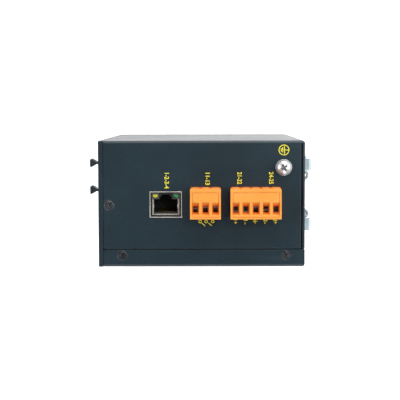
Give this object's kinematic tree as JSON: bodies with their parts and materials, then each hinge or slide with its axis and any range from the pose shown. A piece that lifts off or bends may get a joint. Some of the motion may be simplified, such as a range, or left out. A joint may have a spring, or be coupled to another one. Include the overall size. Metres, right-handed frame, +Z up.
{
  "type": "din rail ethernet switch",
  "caption": "Industrial network switch in a dark folded sheet metal case with a rail clip, modular jacks, optical module bays and pluggable orange screw terminals",
  "frame": {"origin": "centre of the case's flat underside", "axes": "+Z up towards the terminal face, -Y towards the front panel with the ports, +Y towards the rail clip, +X towards the removable base tray"},
  "size_m": [0.065, 0.1192, 0.161],
  "materials": {
    "case_paint": "fine textured powder coat, satin",
    "screw_black": "black zinc, satin",
    "nickel": "bright nickel plate",
    "zinc": "pale blue zinc plate",
    "spring_steel": "drawn wire, zinc plated",
    "shield_plate": "tin plated, satin",
    "jack_plastic": "moulded, satin",
    "contact_gold": "gold flash",
    "contact_tin": "tin plated",
    "lamp_yellow": "clear tinted",
    "lamp_green": "clear tinted",
    "pipe_clear": "clear moulding",
    "terminal_orange": "moulded, satin",
    "clamp_steel": "zinc plated",
    "plug_rubber": "moulded, matt",
    "board_green": "lacquered laminate",
    "chip_black": "moulded",
    "sink_aluminium": "extruded, clear",
    "core_grey": "ferrite with tape",
    "can_grey": "sleeved can"
  },
  "bodies": {
    "case": {"chassis": "case_paint", "base_tray": "case_paint", "front_panel": "case_paint", "cover_screws": "screw_black", "front_panel_screws": "screw_black", "ground_screw": "nickel", "ground_spring_washer": "nickel", "ground_flat_washer": "nickel", "ground_nut": "zinc", "main_board": "board_green", "power_board": "board_green", "module_board": "board_green", "board_spacers": "nickel", "board_posts": "nickel", "board_screws": "zinc", "switch_chip": "chip_black", "heat_sink": "sink_aluminium", "transformer": "core_grey", "capacitors": "can_grey", "board_link": "chip_black", "module_board_link": "chip_black", "console_jack_shield": "shield_plate", "console_jack_housing": "jack_plastic", "console_jack_contacts": "contact_gold", "console_led_yellow": "lamp_yellow", "console_led_green": "lamp_green", "port_bank_shield": "shield_plate", "port_bank_housing": "jack_plastic", "port_bank_contacts": "contact_gold", "module_cage": "shield_plate", "light_pipes": "pipe_clear", "rail_clip": "zinc", "rail_spring": "spring_steel", "rail_clip_screws": "nickel", "fault_header": "terminal_orange", "fault_header_pins": "contact_tin", "power_header": "terminal_orange", "power_header_pins": "contact_tin"},
    "fault_block": {"fault_plug": "terminal_orange", "fault_plug_contacts": "contact_tin"},
    "power_block": {"power_plug": "terminal_orange", "power_plug_contacts": "contact_tin"},
    "dust_cap_1": {"dust_plug_1": "plug_rubber"},
    "dust_cap_2": {"dust_plug_2": "plug_rubber"},
    "fault_clamp_screw_1": {"fault_screw_1": "clamp_steel"},
    "fault_clamp_cage_1": {"fault_cage_1": "clamp_steel"},
    "fault_clamp_screw_2": {"fault_screw_2": "clamp_steel"},
    "fault_clamp_cage_2": {"fault_cage_2": "clamp_steel"},
    "fault_clamp_screw_3": {"fault_screw_3": "clamp_steel"},
    "fault_clamp_cage_3": {"fault_cage_3": "clamp_steel"},
    "power_clamp_screw_1": {"power_screw_1": "clamp_steel"},
    "power_clamp_cage_1": {"power_cage_1": "clamp_steel"},
    "power_clamp_screw_2": {"power_screw_2": "clamp_steel"},
    "power_clamp_cage_2": {"power_cage_2": "clamp_steel"},
    "power_clamp_screw_3": {"power_screw_3": "clamp_steel"},
    "power_clamp_cage_3": {"power_cage_3": "clamp_steel"},
    "power_clamp_screw_4": {"power_screw_4": "clamp_steel"},
    "power_clamp_cage_4": {"power_cage_4": "clamp_steel"},
    "power_clamp_screw_5": {"power_screw_5": "clamp_steel"},
    "power_clamp_cage_5": {"power_cage_5": "clamp_steel"}
  },
  "joints": [
    {"name": "fault_block_pull", "type": "slide", "parent": "case", "child": "fault_block", "axis": [0, 0, 1], "range_m": [0, 0.009]},
    {"name": "power_block_pull", "type": "slide", "parent": "case", "child": "power_block", "axis": [0, 0, 1], "range_m": [0, 0.009]},
    {"name": "dust_cap_1_pull", "type": "slide", "parent": "case", "child": "dust_cap_1", "axis": [0, -1, 0], "range_m": [0, 0.014]},
    {"name": "dust_cap_2_pull", "type": "slide", "parent": "case", "child": "dust_cap_2", "axis": [0, -1, 0], "range_m": [0, 0.014]},
    {"name": "fault_screw_1_turn", "type": "hinge", "parent": "fault_block", "child": "fault_clamp_screw_1", "pos_m": [-0.0078, -0.00298, 0.1546], "axis": [1, 0, 0], "range_deg": [-1800.2, 504.2]},
    {"name": "fault_cage_1_rise", "type": "slide", "parent": "fault_block", "child": "fault_clamp_cage_1", "axis": [-1, 0, 0], "range_m": [-0.0025, 0.0007]},
    {"name": "fault_screw_2_turn", "type": "hinge", "parent": "fault_block", "child": "fault_clamp_screw_2", "pos_m": [-0.0078, 0.0021, 0.1546], "axis": [1, 0, 0], "range_deg": [-2232.2, 72.2]},
    {"name": "fault_cage_2_rise", "type": "slide", "parent": "fault_block", "child": "fault_clamp_cage_2", "axis": [-1, 0, 0], "range_m": [-0.0031, 0.0001]},
    {"name": "fault_screw_3_turn", "type": "hinge", "parent": "fault_block", "child": "fault_clamp_screw_3", "pos_m": [-0.0078, 0.00718, 0.1546], "axis": [1, 0, 0], "range_deg": [-2232.2, 72.2]},
    {"name": "fault_cage_3_rise", "type": "slide", "parent": "fault_block", "child": "fault_clamp_cage_3", "axis": [-1, 0, 0], "range_m": [-0.0031, 0.0001]},
    {"name": "power_screw_1_turn", "type": "hinge", "parent": "power_block", "child": "power_clamp_screw_1", "pos_m": [-0.0078, 0.01744, 0.1546], "axis": [1, 0, 0], "range_deg": [-648.2, 1656.2]},
    {"name": "power_cage_1_rise", "type": "slide", "parent": "power_block", "child": "power_clamp_cage_1", "axis": [-1, 0, 0], "range_m": [-0.0009, 0.0023]},
    {"name": "power_screw_2_turn", "type": "hinge", "parent": "power_block", "child": "power_clamp_screw_2", "pos_m": [-0.0078, 0.02252, 0.1546], "axis": [1, 0, 0], "range_deg": [-648.2, 1656.2]},
    {"name": "power_cage_2_rise", "type": "slide", "parent": "power_block", "child": "power_clamp_cage_2", "axis": [-1, 0, 0], "range_m": [-0.0009, 0.0023]},
    {"name": "power_screw_3_turn", "type": "hinge", "parent": "power_block", "child": "power_clamp_screw_3", "pos_m": [-0.0078, 0.0276, 0.1546], "axis": [1, 0, 0], "range_deg": [-2232.2, 72.2]},
    {"name": "power_cage_3_rise", "type": "slide", "parent": "power_block", "child": "power_clamp_cage_3", "axis": [-1, 0, 0], "range_m": [-0.0031, 0.0001]},
    {"name": "power_screw_4_turn", "type": "hinge", "parent": "power_block", "child": "power_clamp_screw_4", "pos_m": [-0.0078, 0.03268, 0.1546], "axis": [1, 0, 0], "range_deg": [-1224.2, 1080.2]},
    {"name": "power_cage_4_rise", "type": "slide", "parent": "power_block", "child": "power_clamp_cage_4", "axis": [-1, 0, 0], "range_m": [-0.0017, 0.0015]},
    {"name": "power_screw_5_turn", "type": "hinge", "parent": "power_block", "child": "power_clamp_screw_5", "pos_m": [-0.0078, 0.03776, 0.1546], "axis": [1, 0, 0], "range_deg": [-360.2, 1944.2]},
    {"name": "power_cage_5_rise", "type": "slide", "parent": "power_block", "child": "power_clamp_cage_5", "axis": [-1, 0, 0], "range_m": [-0.0005, 0.0027]}
  ],
  "couplings": [
    {"joint": "fault_screw_1_turn", "follows": "fault_cage_1_rise", "rad_per_m": 12566},
    {"joint": "fault_screw_2_turn", "follows": "fault_cage_2_rise", "rad_per_m": 12566},
    {"joint": "fault_screw_3_turn", "follows": "fault_cage_3_rise", "rad_per_m": 12566},
    {"joint": "power_screw_1_turn", "follows": "power_cage_1_rise", "rad_per_m": 12566},
    {"joint": "power_screw_2_turn", "follows": "power_cage_2_rise", "rad_per_m": 12566},
    {"joint": "power_screw_3_turn", "follows": "power_cage_3_rise", "rad_per_m": 12566},
    {"joint": "power_screw_4_turn", "follows": "power_cage_4_rise", "rad_per_m": 12566},
    {"joint": "power_screw_5_turn", "follows": "power_cage_5_rise", "rad_per_m": 12566}
  ]
}
